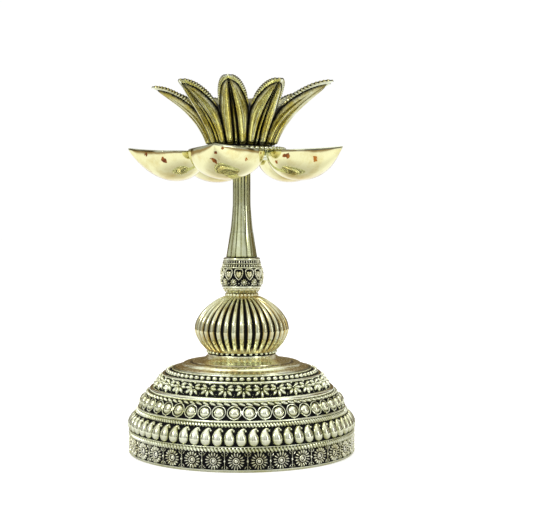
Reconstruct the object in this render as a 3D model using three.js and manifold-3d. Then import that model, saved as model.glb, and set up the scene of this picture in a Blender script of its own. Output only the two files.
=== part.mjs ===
// A table-top brass oil lamp of the samai kind: a banded dome base, a fluted bulb, a small collar and a
// slender stem carry a tray of five leaf-shaped oil cups, with a lotus crown screwed down on top.
// Millimetres, +Z up. The origin is the centre of the circle that the base stands on, and -Y is the front.

import * as THREE from "three";
import { mergeVertices } from "three/addons/utils/BufferGeometryUtils.js";
import Module from "manifold-3d";

const wasm = await Module();
wasm.setup();

// ---- Driving dimensions ------------------------------------------------------------------------

const GAP = 0.3; // clearance between neighbouring pieces
const BASE_ROUND = 60; // facets of the base
const ROUND = 48; // facets of a large turned piece
const SMALL_ROUND = 24; // facets of a small turned piece

const BASE_RADIUS = 54.2;
const BASE_HEIGHT = 46.7; // up to the seat of the bulb
const BASE_WALL = 1.8;
const BASE_SEAT_RADIUS = 16.6;

const BULB_RADIUS = 22.6;
const BULB_FOOT_RADIUS = 17.2;
const BULB_TOP_RADIUS = 7.8;
const BULB_FOOT = 48.1;
const BULB_EQUATOR = 58.5;
const BULB_TOP = 75.5;
const BULB_WALL = 1.7;
const BULB_RIBS = 36;
const RIB_DEPTH = 0.9;

const COLLAR_RADIUS = 10.1;
const COLLAR_TOP = 92.8;
const STEM_FOOT_RADIUS = 7.5;
const STEM_JOINT = 104.7;
const STEM_JOINT_RADIUS = 5.5;
const STEM_RADIUS = 4.3;
const STEM_SIDES = 8;

const ROD_RADIUS = 3.0;
const ROD_BORE = ROD_RADIUS + GAP;
const ROD_BOTTOM = 33.0;
const ROD_TOP = 153.4;

const HUB_BOTTOM = 136.2;
const HUB_BOSS_RADIUS = 9.0;
const HUB_DISC_RADIUS = 21.4;
const HUB_DISC_BOTTOM = 142.9;
const HUB_TOP = 145.0;

const CUP_COUNT = 5;
const FIRST_CUP_AZIMUTH = -13; // degrees from the front, positive to the right
const CUP_CENTRE = 31.0; // from the lamp's axis to the lowest point of a cup
const CUP_TIP_REACH = 22.9; // from that point to the pointed lip
const CUP_BACK_REACH = 14.6; // and to the rounded end beside the hub
const CUP_HALF_WIDTH = 17.6;
const CUP_RIM = 142.5;
const CUP_DEPTH = 13.4;
const CUP_WALL = 1.3;
const LIP_RISE = 1.8;

const PETAL_COUNT = 10;
const FIRST_PETAL_AZIMUTH = -9;
const PETAL_THICKNESS = 1.5;
const PETAL_BASE_HALF_WIDTH = 4.8;
const PETAL_HALF_WIDTH = 7.4;
const PETAL_WIDEST = 0.6; // share of the petal's length
const PETAL_DISH = 3.0; // how far its edges turn in towards the axis
const PETAL_RIDGE = 0.5;
const CROWN_FLOOR = 146.3;
const CROWN_BASE_RADIUS = 15.4;
const CROWN_TIP_RADIUS = 44.0;
const CROWN_TIP = 174.8;

// ---- Materials ---------------------------------------------------------------------------------

function metal(colour, roughness) {
  return new THREE.MeshStandardMaterial({ color: colour, roughness, metalness: 1.0 });
}

const polishedBrass = () => metal(0xe6dc9c, 0.16);
const antiqueBrass = () => metal(0xb9ad6a, 0.32);
const oliveBrass = () => metal(0x9c8c3c, 0.3);
const zincSteel = () => metal(0x9a9a98, 0.4);

// ---- Geometry helpers --------------------------------------------------------------------------

const degrees = (value) => (value * Math.PI) / 180;

// A solid turned about +Z from [radius, height] corners that run anticlockwise round a closed section.
function turned(section, facets) {
  const outline = section.map(([radius, height]) => new THREE.Vector2(radius, height));
  outline.push(outline[0].clone());
  return new THREE.LatheGeometry(outline, facets).rotateX(Math.PI / 2);
}

// [radius, height] corners spaced evenly along a smooth curve through a few given ones.
function smooth(corners, count) {
  const curve = new THREE.SplineCurve(corners.map(([radius, height]) => new THREE.Vector2(radius, height)));
  return curve.getPoints(count).map((point) => [point.x, point.y]);
}

function toSolid(geometry) {
  const bare = geometry.clone();
  bare.deleteAttribute("normal");
  bare.deleteAttribute("uv");
  const merged = mergeVertices(bare, 1e-3);
  const mesh = new wasm.Mesh({
    numProp: 3,
    vertProperties: merged.attributes.position.array,
    triVerts: new Uint32Array(merged.index.array),
  });
  return new wasm.Manifold(mesh);
}

function toGeometry(solid) {
  const mesh = solid.getMesh();
  const geometry = new THREE.BufferGeometry();
  geometry.setAttribute("position", new THREE.BufferAttribute(mesh.vertProperties, mesh.numProp));
  geometry.setIndex(new THREE.BufferAttribute(mesh.triVerts, 1));
  return geometry;
}

const joined = (first, second) => toGeometry(toSolid(first).add(toSolid(second)));
const cut = (first, second) => toGeometry(toSolid(first).subtract(toSolid(second)));

// The hole that the tie rod runs through, from one height to another.
function rodBore(bottom, top) {
  return new THREE.CylinderGeometry(ROD_BORE, ROD_BORE, top - bottom, SMALL_ROUND)
    .rotateX(Math.PI / 2)
    .translate(0, 0, (bottom + top) / 2);
}

// A closed skin over rings of points. A ring of one point is a pole, and an open end is capped flat.
function loft(rings) {
  const closed = [...rings];
  for (const end of [0, closed.length - 1]) {
    const ring = closed[end];
    if (ring.length > 1) {
      const middle = new THREE.Vector3();
      ring.forEach((point) => middle.addScaledVector(point, 1 / ring.length));
      if (end === 0) {
        closed.unshift([middle]);
      } else {
        closed.push([middle]);
      }
    }
  }
  const points = closed.flat();
  const faces = [];
  let start = 0;
  for (let i = 0; i + 1 < closed.length; i += 1) {
    const here = closed[i].length;
    const next = closed[i + 1].length;
    const side = Math.max(here, next);
    for (let k = 0; k < side; k += 1) {
      const a = start + (k % here);
      const b = start + ((k + 1) % here);
      const c = start + here + ((k + 1) % next);
      const d = start + here + (k % next);
      if (here > 1) {
        faces.push(a, b, c);
      }
      if (next > 1) {
        faces.push(a, c, d);
      }
    }
    start += here;
  }
  const geometry = new THREE.BufferGeometry().setFromPoints(points);
  geometry.setIndex(faces);
  return geometry;
}

const lamp = new THREE.Group();

function add(name, geometry, material, azimuth = 0) {
  const mesh = new THREE.Mesh(geometry, material);
  mesh.name = name;
  mesh.rotation.z = degrees(azimuth);
  lamp.add(mesh);
}

// ---- Base, bulb, collar and stem ---------------------------------------------------------------

// A hollow casting, open below. Its wall climbs in banded steps to a domed shoulder and a short neck.
function baseDome() {
  const skirt = [
    [BASE_RADIUS - 0.6, 0],
    [BASE_RADIUS, 0.8],
    [BASE_RADIUS, 9.6],
    [BASE_RADIUS - 0.4, 14.0],
    [BASE_RADIUS - 1.3, 16.9],
    [BASE_RADIUS - 4.0, 21.1],
  ];
  const shoulder = [
    [47.8, 25.4],
    [45.4, 29.1],
    [42.6, 31.7],
    [40.8, 34.1],
    [38.6, 37.0],
    [34.6, 39.8],
    [27.8, 42.7],
    [19.4, 45.4],
  ];
  const neck = [
    [BASE_SEAT_RADIUS, BASE_HEIGHT],
    [ROD_BORE, BASE_HEIGHT],
    [ROD_BORE, BASE_HEIGHT - 3.0],
    [BASE_SEAT_RADIUS - 2, BASE_HEIGHT - 3.0],
  ];
  const inside = [
    [27.0, 40.7],
    [36.4, 35.8],
    [40.2, 30.2],
    [45.6, 24.4],
    [50.4, 16.6],
    [BASE_RADIUS - BASE_WALL, 8.0],
    [BASE_RADIUS - BASE_WALL, 0],
  ];
  return turned([...skirt, ...shoulder, ...neck, ...inside], BASE_ROUND);
}

function seatRing() {
  const middle = BASE_HEIGHT + GAP + 0.4;
  return turned(
    [
      [17.2, middle - 0.4],
      [18.0, middle],
      [17.2, middle + 0.4],
      [ROD_BORE, middle + 0.4],
      [ROD_BORE, middle - 0.4],
    ],
    ROUND,
  );
}

// Upright flutes pressed into the outer wall of a turned shell, fading out towards its two ends.
function fluted(geometry, bottom, top) {
  const place = geometry.attributes.position;
  for (let i = 0; i < place.count; i += 1) {
    const x = place.getX(i);
    const y = place.getY(i);
    const radius = Math.hypot(x, y);
    const rise = (place.getZ(i) - bottom) / (top - bottom);
    const fade = Math.sin(Math.PI * THREE.MathUtils.clamp(0.1 + 0.8 * rise, 0, 1));
    const rib = Math.cos(BULB_RIBS * Math.atan2(y, x));
    const outside = radius > BULB_TOP_RADIUS + 0.5 ? 1 : 0;
    const scale = 1 - (outside * fade * RIB_DEPTH * 0.5 * (1 - rib)) / Math.max(radius, 1);
    place.setXY(i, x * scale, y * scale);
  }
  return geometry;
}

function bulbLower() {
  const outside = smooth(
    [
      [BULB_FOOT_RADIUS, BULB_FOOT],
      [19.9, 51.9],
      [22.0, 55.5],
      [BULB_RADIUS, BULB_EQUATOR - GAP / 2],
    ],
    4,
  );
  const inside = [
    [BULB_RADIUS - BULB_WALL - RIB_DEPTH, BULB_EQUATOR - GAP / 2],
    [18.0, 52.9],
    [15.2, BULB_FOOT + BULB_WALL],
    [ROD_BORE, BULB_FOOT + BULB_WALL],
    [ROD_BORE, BULB_FOOT],
  ];
  return fluted(turned([...outside, ...inside], BULB_RIBS * 2), BULB_FOOT, BULB_TOP);
}

function bulbUpper() {
  const outside = smooth(
    [
      [BULB_RADIUS, BULB_EQUATOR + GAP / 2],
      [21.6, 62.9],
      [17.7, 68.1],
      [12.4, 72.3],
      [BULB_TOP_RADIUS, BULB_TOP],
    ],
    6,
  );
  const inside = [
    [ROD_BORE, BULB_TOP],
    [ROD_BORE, BULB_TOP - BULB_WALL],
    [8.0, 72.3],
    [15.2, 67.1],
    [19.0, 62.1],
    [BULB_RADIUS - BULB_WALL - RIB_DEPTH, BULB_EQUATOR + GAP / 2],
  ];
  return fluted(turned([...outside, ...inside], BULB_RIBS * 2), BULB_FOOT, BULB_TOP);
}

// The knop between bulb and stem: a small vase on a beaded foot.
function collar() {
  const foot = BULB_TOP + GAP;
  return turned(
    [
      [ROD_BORE, foot],
      [8.0, foot],
      [8.8, foot + 1.4],
      [COLLAR_RADIUS, foot + 4.6],
      [COLLAR_RADIUS, foot + 10.2],
      [9.4, foot + 13.0],
      [9.3, foot + 15.2],
      [8.6, COLLAR_TOP],
      [ROD_BORE, COLLAR_TOP],
    ],
    SMALL_ROUND,
  );
}

// An eight-sided sleeve on the tie rod, from [radius, height] corners of its outer wall.
function stemSleeve(wall) {
  const [, bottom] = wall[0];
  const [, top] = wall[wall.length - 1];
  const body = new THREE.LatheGeometry(
    [[0, bottom], ...wall, [0, top]].map(([radius, height]) => new THREE.Vector2(radius, height)),
    STEM_SIDES,
  );
  return cut(body.rotateX(Math.PI / 2).rotateZ(Math.PI / STEM_SIDES), rodBore(bottom - 1, top + 1));
}

function stemLower() {
  const wall = smooth(
    [
      [STEM_FOOT_RADIUS, COLLAR_TOP + GAP],
      [6.6, 98.3],
      [STEM_JOINT_RADIUS, STEM_JOINT],
    ],
    6,
  );
  return stemSleeve(wall);
}

function stemUpper() {
  const wall = smooth(
    [
      [STEM_JOINT_RADIUS, STEM_JOINT + GAP],
      [4.8, 111.0],
      [STEM_RADIUS, 119.5],
      [STEM_RADIUS, HUB_BOTTOM - GAP],
    ],
    8,
  );
  return stemSleeve(wall);
}

// ---- Tie rod and its fastenings ----------------------------------------------------------------

function tieRod() {
  return new THREE.CylinderGeometry(ROD_RADIUS, ROD_RADIUS, ROD_TOP - ROD_BOTTOM, 16)
    .rotateX(Math.PI / 2)
    .translate(0, 0, (ROD_BOTTOM + ROD_TOP) / 2);
}

function washer(bottom, radius, thickness) {
  return turned(
    [
      [ROD_BORE, bottom],
      [radius, bottom],
      [radius, bottom + thickness],
      [ROD_BORE, bottom + thickness],
    ],
    SMALL_ROUND,
  );
}

function baseNut(bottom, height) {
  const acrossCorners = 11.55;
  const hexagon = new THREE.CylinderGeometry(acrossCorners / 2, acrossCorners / 2, height, 6)
    .rotateX(Math.PI / 2)
    .translate(0, 0, bottom + height / 2);
  return cut(hexagon, rodBore(bottom - 1, bottom + height + 1));
}

// ---- Tray of five cups -------------------------------------------------------------------------

// A boss with a beaded disc over it. Five short arms reach out to the backs of the cups.
function trayHub() {
  const body = turned(
    [
      [ROD_BORE, HUB_BOTTOM],
      [STEM_RADIUS, HUB_BOTTOM],
      [HUB_BOSS_RADIUS, HUB_BOTTOM + 3],
      [HUB_BOSS_RADIUS + 2, HUB_DISC_BOTTOM],
      [HUB_DISC_RADIUS - 0.8, HUB_DISC_BOTTOM],
      [HUB_DISC_RADIUS, (HUB_DISC_BOTTOM + HUB_TOP) / 2],
      [HUB_DISC_RADIUS - 0.8, HUB_TOP],
      [ROD_BORE, HUB_TOP],
    ],
    ROUND,
  );
  const armReach = CUP_CENTRE - CUP_BACK_REACH - GAP;
  const armStart = HUB_BOSS_RADIUS - 1;
  const armWidth = 6;
  const armHeight = 3.6;
  let hub = body;
  for (let k = 0; k < CUP_COUNT; k += 1) {
    const arm = new THREE.BoxGeometry(armWidth, armReach - armStart, armHeight)
      .translate(0, -(armReach + armStart) / 2, HUB_DISC_BOTTOM - armHeight / 2)
      .rotateZ(degrees(FIRST_CUP_AZIMUTH + (k * 360) / CUP_COUNT));
    hub = joined(hub, arm);
  }
  return hub;
}

// One level of the bowl: a leaf outline, drawn in as the bowl deepens. The lip side narrows faster.
function cupRing(depth, fullDepth, wall, points) {
  const ring = [];
  for (let k = 0; k < points; k += 1) {
    const turn = (2 * Math.PI * k) / points;
    const towardsLip = Math.max(0, Math.cos(turn));
    const fullness = 2 - 0.85 * towardsLip ** 2;
    const scale = Math.sqrt(Math.max(0, 1 - (depth / fullDepth) ** fullness));
    const lipSide = Math.cos(turn) > 0;
    const reach = (lipSide ? CUP_TIP_REACH : CUP_BACK_REACH) - wall;
    const tapering = Math.sign(Math.sin(turn)) * Math.cos((Math.PI / 2) * Math.cos(turn)) ** 1.15;
    const breadth = lipSide ? tapering : Math.sin(turn);
    const along = reach * Math.cos(turn) * scale;
    const across = (CUP_HALF_WIDTH - wall) * breadth * scale;
    const rise = LIP_RISE * towardsLip ** 2 * scale ** 2;
    ring.push(new THREE.Vector3(across, -(CUP_CENTRE + along), CUP_RIM + rise - depth));
  }
  return ring;
}

function cup() {
  const points = 20;
  const levels = [0, 0.3, 0.56, 0.77, 0.92];
  const innerDepth = CUP_DEPTH - CUP_WALL;
  const outside = levels.map((level) => cupRing(level * CUP_DEPTH, CUP_DEPTH, 0, points));
  const inside = levels.map((level) => cupRing(level * innerDepth, innerDepth, CUP_WALL, points));
  const outerPole = [new THREE.Vector3(0, -CUP_CENTRE, CUP_RIM - CUP_DEPTH)];
  const innerPole = [new THREE.Vector3(0, -CUP_CENTRE, CUP_RIM - innerDepth)];
  return loft([outerPole, ...outside.reverse(), ...inside, innerPole]);
}

// ---- Lotus crown -------------------------------------------------------------------------------

// A floor plate with a blind threaded boss in its middle.
function crownSocket() {
  const plateRadius = CROWN_BASE_RADIUS - PETAL_THICKNESS - 0.5;
  const body = turned(
    [
      [0.01, CROWN_FLOOR],
      [plateRadius * 0.9, CROWN_FLOOR],
      [plateRadius, CROWN_FLOOR + 2.2],
      [8.0, CROWN_FLOOR + 2.8],
      [6.4, CROWN_FLOOR + 7.6],
      [3.6, CROWN_FLOOR + 10.2],
      [0.01, CROWN_FLOOR + 10.9],
    ],
    SMALL_ROUND,
  );
  return cut(body, rodBore(CROWN_FLOOR - 1, ROD_TOP + GAP));
}

const petalSpine = new THREE.SplineCurve(
  [
    [CROWN_BASE_RADIUS - PETAL_THICKNESS / 2, CROWN_FLOOR],
    [17.6, 152.4],
    [22.4, 159.0],
    [29.0, 165.3],
    [36.8, 171.0],
    [CROWN_TIP_RADIUS, CROWN_TIP],
  ].map(([radius, height]) => new THREE.Vector2(radius, height)),
);

// Half the width of a petal at a share of its length, kept clear of its neighbours.
function petalHalfWidth(share, radius) {
  const swell = Math.sin((Math.PI / 2) * Math.min(1, share / PETAL_WIDEST));
  const leaf = THREE.MathUtils.lerp(PETAL_BASE_HALF_WIDTH, PETAL_HALF_WIDTH, swell);
  const past = Math.max(0, share - PETAL_WIDEST) / (1 - PETAL_WIDEST);
  const taper = (1 - past ** 2.2) ** 0.75;
  const room = (radius - PETAL_DISH) * Math.tan(Math.PI / PETAL_COUNT) - GAP;
  return Math.min(leaf * taper, Math.max(room, PETAL_BASE_HALF_WIDTH - 2 * GAP));
}

// A pointed leaf that bends outwards as it rises, dished towards the axis, with a ridge down its back.
function petal() {
  const stations = [0, 0.12, 0.25, 0.4, 0.55, 0.7, 0.82, 0.92];
  const across = [-1, -0.5, 0, 0.5, 1];
  const rings = stations.map((share) => {
    const spine = petalSpine.getPointAt(share);
    const tangent = petalSpine.getTangentAt(share);
    const half = petalHalfWidth(share, spine.x);
    const thin = PETAL_THICKNESS * (1 - 0.4 * share);
    const dish = PETAL_DISH * Math.min(1, share / PETAL_WIDEST) * (half / PETAL_HALF_WIDTH);
    const place = (side, lift) => {
      const out = lift - dish * side ** 2;
      return new THREE.Vector3(half * side, -(spine.x + tangent.y * out), spine.y - tangent.x * out);
    };
    const back = across.map((side) => place(side, thin / 2 + (side === 0 ? PETAL_RIDGE : 0)));
    const front = across.map((side) => place(side, -thin / 2));
    return [...back, ...front.reverse()];
  });
  const tip = petalSpine.getPointAt(1);
  return loft([...rings, [new THREE.Vector3(0, -tip.x, tip.y)]]);
}

// ---- Assembly ----------------------------------------------------------------------------------

const BASE_WASHER_THICKNESS = 1.4;
const BASE_NUT_HEIGHT = 5.0;
const CROWN_WASHER_THICKNESS = 0.7;
const washerBottom = BASE_HEIGHT - 3.0 - GAP - BASE_WASHER_THICKNESS;
const nutBottom = washerBottom - GAP - BASE_NUT_HEIGHT;

add("base_dome", baseDome(), antiqueBrass());
add("bulb_seat_ring", seatRing(), antiqueBrass());
add("bulb_lower_half", bulbLower(), antiqueBrass());
add("bulb_upper_half", bulbUpper(), antiqueBrass());
add("collar_knop", collar(), antiqueBrass());
add("stem_lower", stemLower(), antiqueBrass());
add("stem_upper", stemUpper(), antiqueBrass());
add("tie_rod", tieRod(), zincSteel());
add("base_washer", washer(washerBottom, 9, BASE_WASHER_THICKNESS), zincSteel());
add("base_nut", baseNut(nutBottom, BASE_NUT_HEIGHT), zincSteel());

add("tray_hub", trayHub(), antiqueBrass());
const cupNames = ["front", "right", "back_right", "back_left", "left"];
cupNames.forEach((side, k) => {
  add(`cup_${side}`, cup(), polishedBrass(), FIRST_CUP_AZIMUTH + (k * 360) / CUP_COUNT);
});

add("crown_washer", washer(HUB_TOP + GAP, 7, CROWN_WASHER_THICKNESS), zincSteel());
add("crown_socket", crownSocket(), oliveBrass());
for (let k = 0; k < PETAL_COUNT; k += 1) {
  const number = String(k + 1).padStart(2, "0");
  add(`petal_${number}`, petal(), oliveBrass(), FIRST_PETAL_AZIMUTH + (k * 360) / PETAL_COUNT);
}

export default lamp;
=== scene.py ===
"""Brass standing oil lamp: a domed base with cast bands, a fluted bulb, a slender stem, a tray of
five leaf-shaped oil cups and a lotus crown. Shapes are in millimetres until they become meshes."""

import math

import bpy
import numpy as np
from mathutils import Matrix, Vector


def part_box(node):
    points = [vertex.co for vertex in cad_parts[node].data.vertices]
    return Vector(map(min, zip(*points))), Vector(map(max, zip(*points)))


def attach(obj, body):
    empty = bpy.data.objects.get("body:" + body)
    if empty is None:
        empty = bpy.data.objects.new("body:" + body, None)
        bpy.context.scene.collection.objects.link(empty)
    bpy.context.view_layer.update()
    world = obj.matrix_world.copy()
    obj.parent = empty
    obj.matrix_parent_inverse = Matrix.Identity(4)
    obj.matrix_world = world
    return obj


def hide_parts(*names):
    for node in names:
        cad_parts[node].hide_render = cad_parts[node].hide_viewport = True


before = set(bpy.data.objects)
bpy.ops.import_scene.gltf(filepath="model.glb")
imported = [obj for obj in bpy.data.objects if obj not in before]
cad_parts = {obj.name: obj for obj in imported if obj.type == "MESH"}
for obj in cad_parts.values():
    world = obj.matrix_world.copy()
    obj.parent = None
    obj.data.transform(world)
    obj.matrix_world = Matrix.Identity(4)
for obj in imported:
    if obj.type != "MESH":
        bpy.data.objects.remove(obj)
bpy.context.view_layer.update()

MM = 0.001
TURN = 2 * math.pi
CURVE_STEPS = 24  # samples of a curve from one of its given points to the next
SINK = 0.3  # how far the foot of an ornament goes into what it is set on
TONE_POWER = 0.6  # under 1, so that an ornament stays polished well down its sides


def box_mm(node):
    """The lowest and highest corners of a CAD node, in millimetres."""
    low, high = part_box(node)
    return np.array(low) / MM, np.array(high) / MM


def levels_mm(node):
    """The lowest and highest heights of a CAD node, in millimetres."""
    low, high = box_mm(node)
    return low[2], high[2]


def unit(values):
    """The values held between 0 and 1."""
    return np.clip(values, 0, 1)


def new_object(name, data):
    """A new object in the scene, made of a mesh, a light or a camera."""
    made = bpy.data.objects.new(name, data)
    bpy.context.collection.objects.link(made)
    return made


# ---- Curves and walls of revolution ----


def smooth_curve(points, count):
    """A Catmull-Rom curve through the points, as count points evenly spaced along it."""
    points = np.array(points, float)
    first = 2 * points[0] - points[1]
    last = 2 * points[-1] - points[-2]
    p = np.vstack([first, points, last])
    t = np.linspace(0, 1, CURVE_STEPS, endpoint=False)[:, None]
    parts = []
    for a, b, c, d in zip(p[:-3], p[1:-2], p[2:-1], p[3:]):
        bend = (2 * a - 5 * b + 4 * c - d) * t**2 + (3 * b - a - 3 * c + d) * t**3
        parts.append(0.5 * (2 * b + (c - a) * t + bend))
    fine = np.vstack(parts + [points[-1:]])
    along = np.concatenate([[0], np.cumsum(np.linalg.norm(np.diff(fine, axis=0), axis=1))])
    wanted = np.linspace(0, along[-1], count)
    return np.stack([np.interp(wanted, along, fine[:, k]) for k in range(points.shape[1])], 1)


class Wall:
    """The outside of a turned piece, as (radius, height) points going up it."""

    def __init__(self, points, count=400):
        self.line = smooth_curve(points, count)
        step = np.linalg.norm(np.diff(self.line, axis=0), axis=1)
        self.along = np.concatenate([[0], np.cumsum(step)])
        slope = np.gradient(self.line, self.along, axis=0)
        self.outward = np.stack([slope[:, 1], -slope[:, 0]], 1)

    def distance(self, height):
        """How far along the wall a height is reached."""
        return np.interp(height, self.line[:, 1], self.along)

    def lifted(self, distance, lift):
        """The radius and height of points that far along the wall, lifted off it."""
        point = [np.interp(distance, self.along, self.line[:, k]) for k in range(2)]
        out = [np.interp(distance, self.along, self.outward[:, k]) for k in range(2)]
        return point[0] + lift * out[0], point[1] + lift * out[1]


# ---- Meshes ----


def grid_faces(rows, columns, closed=False):
    """Quads of a grid whose rows go up and whose columns go all the way round to the right, seen
    from outside. A closed one also joins its last row to its first."""
    i = np.arange(rows if closed else rows - 1)[:, None]
    j = np.arange(columns)[None, :]
    up = (i + 1) % rows
    right = (j + 1) % columns
    corners = [i * columns + j, i * columns + right, up * columns + right, up * columns + j]
    return np.stack(np.broadcast_arrays(*corners), -1).reshape(-1, 4)


def fan_faces(rim, middle, flip=False):
    """Triangles from each side of a rim of corners to a middle corner."""
    after = np.roll(rim, -1)
    pair = [after, rim] if flip else [rim, after]
    return np.stack([*pair, np.full(len(rim), middle)], 1)


def tube_faces(rows, columns):
    """A tube of rows of corners, its ends closed by fans to the two corners after the rows."""
    count = rows * columns
    return [
        grid_faces(rows, columns),
        fan_faces(np.arange(columns), count, flip=True),
        fan_faces(count - columns + np.arange(columns), count + 1),
    ]


class Shape:
    """A mesh being put together. Raised is 0 in the dark hollows, 1 on the polished tops and up to 2
    on the cups' rims, where it paints a grey reflection. Finish is each face's material, where there
    is more than one."""

    def __init__(self):
        self.corners = []
        self.raised = []
        self.faces = []
        self.finish = []
        self.count = 0

    def add(self, corners, faces, raised=1.0):
        corners = np.asarray(corners, float).reshape(-1, 3)
        self.corners.append(corners)
        self.raised.append(np.broadcast_to(np.asarray(raised, float).ravel(), len(corners)))
        for block in faces:
            self.faces += (block + self.count).tolist()
        self.count += len(corners)

    def piece(self, name, replaced, materials, body="stand", slot="antique_brass", crease=38):
        """Makes the mesh object, riding on a CAD body and standing for the replaced CAD nodes."""
        mesh = bpy.data.meshes.new(name)
        mesh.from_pydata((np.vstack(self.corners) * MM).tolist(), [], self.faces)
        mesh.attributes.new("raised", "FLOAT", "POINT")
        mesh.attributes["raised"].data.foreach_set("value", np.concatenate(self.raised))
        for material in materials:
            mesh.materials.append(material)
        if self.finish:
            mesh.polygons.foreach_set("material_index", self.finish)
        mesh.shade_smooth()
        mesh.set_sharp_from_angle(angle=math.radians(crease))
        piece = new_object(name, mesh)
        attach(piece, body)
        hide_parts(*replaced)
        return piece


def around(radius, angle, height):
    """Corners at angles from the front, positive to the right."""
    radius, angle, height = np.broadcast_arrays(radius, angle, height)
    return np.stack([radius * np.sin(angle), -radius * np.cos(angle), height], -1)


def turned(shape, outline, columns, tones):
    """Adds a turned ring. Its outline goes up the outside and comes back down the inside."""
    outline = np.array(outline, float)
    angle = np.arange(columns) * TURN / columns
    corners = around(outline[:, :1], angle, outline[:, 1:])
    faces = grid_faces(len(outline), columns, closed=True)
    shape.add(corners, [faces], np.repeat(tones, columns))


def turned_inside(shape, angle, radius, height, tones, inside, inside_tone):
    """Adds a ring whose outside varies round it. Its inside is turned, and comes back down."""
    inside = np.array(inside, float)
    count = len(angle)
    radius = np.vstack([radius, np.repeat(inside[:, :1], count, 1)])
    height = np.vstack([height, np.repeat(inside[:, 1:], count, 1)])
    tones = np.vstack([tones, np.full((len(inside), count), inside_tone)])
    faces = grid_faces(len(radius), count, closed=True)
    shape.add(around(radius, angle, height), [faces], tones)


def stepped_outline(wall, steps, samples):
    """Points up a wall and how polished each one is. A step is its lowest and highest height, how far
    it stands off the wall at its edges and at its middle, and how polished it is."""
    outline, tones = [], []
    for low, high, edge, middle, tone in steps:
        start, end = wall.distance(low), wall.distance(high)
        for t in np.linspace(-1, 1, samples):
            lift = edge + (middle - edge) * math.sqrt(1 - t**2)
            outline.append(wall.lifted((start + end) / 2 + t * (end - start) / 2, lift))
            tones.append(tone)
    return outline, tones


# ---- Small cast ornaments ----
# Each is flat corners (across, up, out), faces and raised values, made once and set many times.


def ridge(spine, half_widths, heights, across):
    """A rounded ridge along a flat spine."""
    spine = np.array(spine, float)
    half_widths = np.broadcast_to(np.asarray(half_widths, float), len(spine))
    heights = np.broadcast_to(np.asarray(heights, float), len(spine))
    forward = np.gradient(spine, axis=0)
    forward /= np.linalg.norm(forward, axis=1)[:, None]
    right = np.stack([forward[:, 1], -forward[:, 0]], 1)
    t = np.sin(np.linspace(-math.pi / 2, math.pi / 2, across))
    dome = np.sqrt(unit(1 - t**2))
    flat = spine[:, None] + right[:, None] * (half_widths[:, None] * t)[..., None]
    out = heights[:, None] * dome - SINK
    corners = np.concatenate([flat, out[..., None]], -1).reshape(-1, 3)
    ends = [(*spine[0], -SINK), (*spine[-1], -SINK)]
    tones = np.concatenate([(heights[:, None] * dome / heights.max()).ravel(), [0, 0]])
    return np.vstack([corners, ends]), tube_faces(len(spine), across), tones


def leaf(start, end, half_width, height, bend=0.0, fullest=0.5, steps=9, across=7, blunt=0.6):
    """A pointed leaf from start to end, its middle pushed sideways by bend."""
    start, end = np.array(start, float), np.array(end, float)
    t = (1 - np.cos(np.linspace(0.02, 0.98, steps) * math.pi)) / 2
    side = np.array([end[1] - start[1], start[0] - end[0]])
    side /= np.linalg.norm(side)
    spine = start + (end - start) * t[:, None] + side * (bend * 4 * t * (1 - t))[:, None]
    swell = np.where(t < fullest, t / fullest, (1 - t) / (1 - fullest))
    swell = np.sin(np.clip(swell, 0.01, 1) * math.pi / 2)
    return ridge(spine, half_width * swell**blunt, height * swell**0.5, across)


def stacked(reach, out, turn, centre, stretch=1.0):
    """Corners of round rings lying flat, one for each reach and each distance out."""
    across = centre[0] + reach[:, None] * np.cos(turn)
    up = centre[1] + stretch * reach[:, None] * np.sin(turn)
    return np.stack([across, up, out[:, None] + 0 * across], -1).reshape(-1, 3)


def button(radius, height, sides, rings, centre=(0, 0), stretch=1.0):
    """A domed button."""
    rise = np.linspace(0, math.pi / 2, rings, endpoint=False)
    turn = np.arange(sides) * TURN / sides
    corners = stacked(radius * np.cos(rise), height * np.sin(rise) - SINK, turn, centre, stretch)
    ends = [(*centre, height - SINK), (*centre, -SINK)]
    top = (rings - 1) * sides + np.arange(sides)
    faces = [
        grid_faces(rings, sides),
        fan_faces(top, rings * sides),
        fan_faces(np.arange(sides), rings * sides + 1, flip=True),
    ]
    tones = np.concatenate([np.repeat(np.sin(rise), sides), [1, 0]])
    return np.vstack([corners, ends]), faces, tones


def hoop(radius, wire, height, sides, around_wire):
    """A round wire ring lying flat, its top at the height."""
    turn = np.arange(sides) * TURN / sides
    roll = np.arange(around_wire) * TURN / around_wire
    out = (height - SINK - wire) + wire * np.sin(roll)
    corners = stacked(radius + wire * np.cos(roll), out, turn, (0, 0))
    tones = np.repeat((np.sin(roll) + 1) / 2, sides)
    return corners, [grid_faces(around_wire, sides, closed=True)], tones


def turned_by(ornament, angle, move=(0, 0)):
    """The ornament turned in its own plane, and moved. It also turns a cup or an arm into place."""
    corners, faces, tones = ornament
    c, s = math.cos(angle), math.sin(angle)
    u, v, out = corners.T
    return np.stack([c * u - s * v + move[0], s * u + c * v + move[1], out], 1), faces, tones


def mirrored(ornament):
    """The ornament with left and right swapped."""
    corners, faces, tones = ornament
    return corners * [-1, 1, 1], [block[:, ::-1] for block in faces], tones


def set_round(shape, wall, ornaments, count, height, ground, seed, shift=0.0, jitter=0.012):
    """Sets ornaments on a wall, bent round it, evenly all the way round. Each is a little off, as
    hand-finished casting is."""
    chance = np.random.default_rng(seed)
    middle = wall.distance(height)
    radius = wall.lifted(middle, 0)[0]
    for k in range(count):
        angle = (k + shift + chance.normal(0, jitter)) * TURN / count
        size = 1 + chance.normal(0, jitter)
        for corners, faces, tones in ornaments:
            across, up, out = corners.T * size
            r, z = wall.lifted(middle + up, out + ground)
            shape.add(around(r, angle + across / radius, z), faces, tones**TONE_POWER)


# ---- Materials ----


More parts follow.
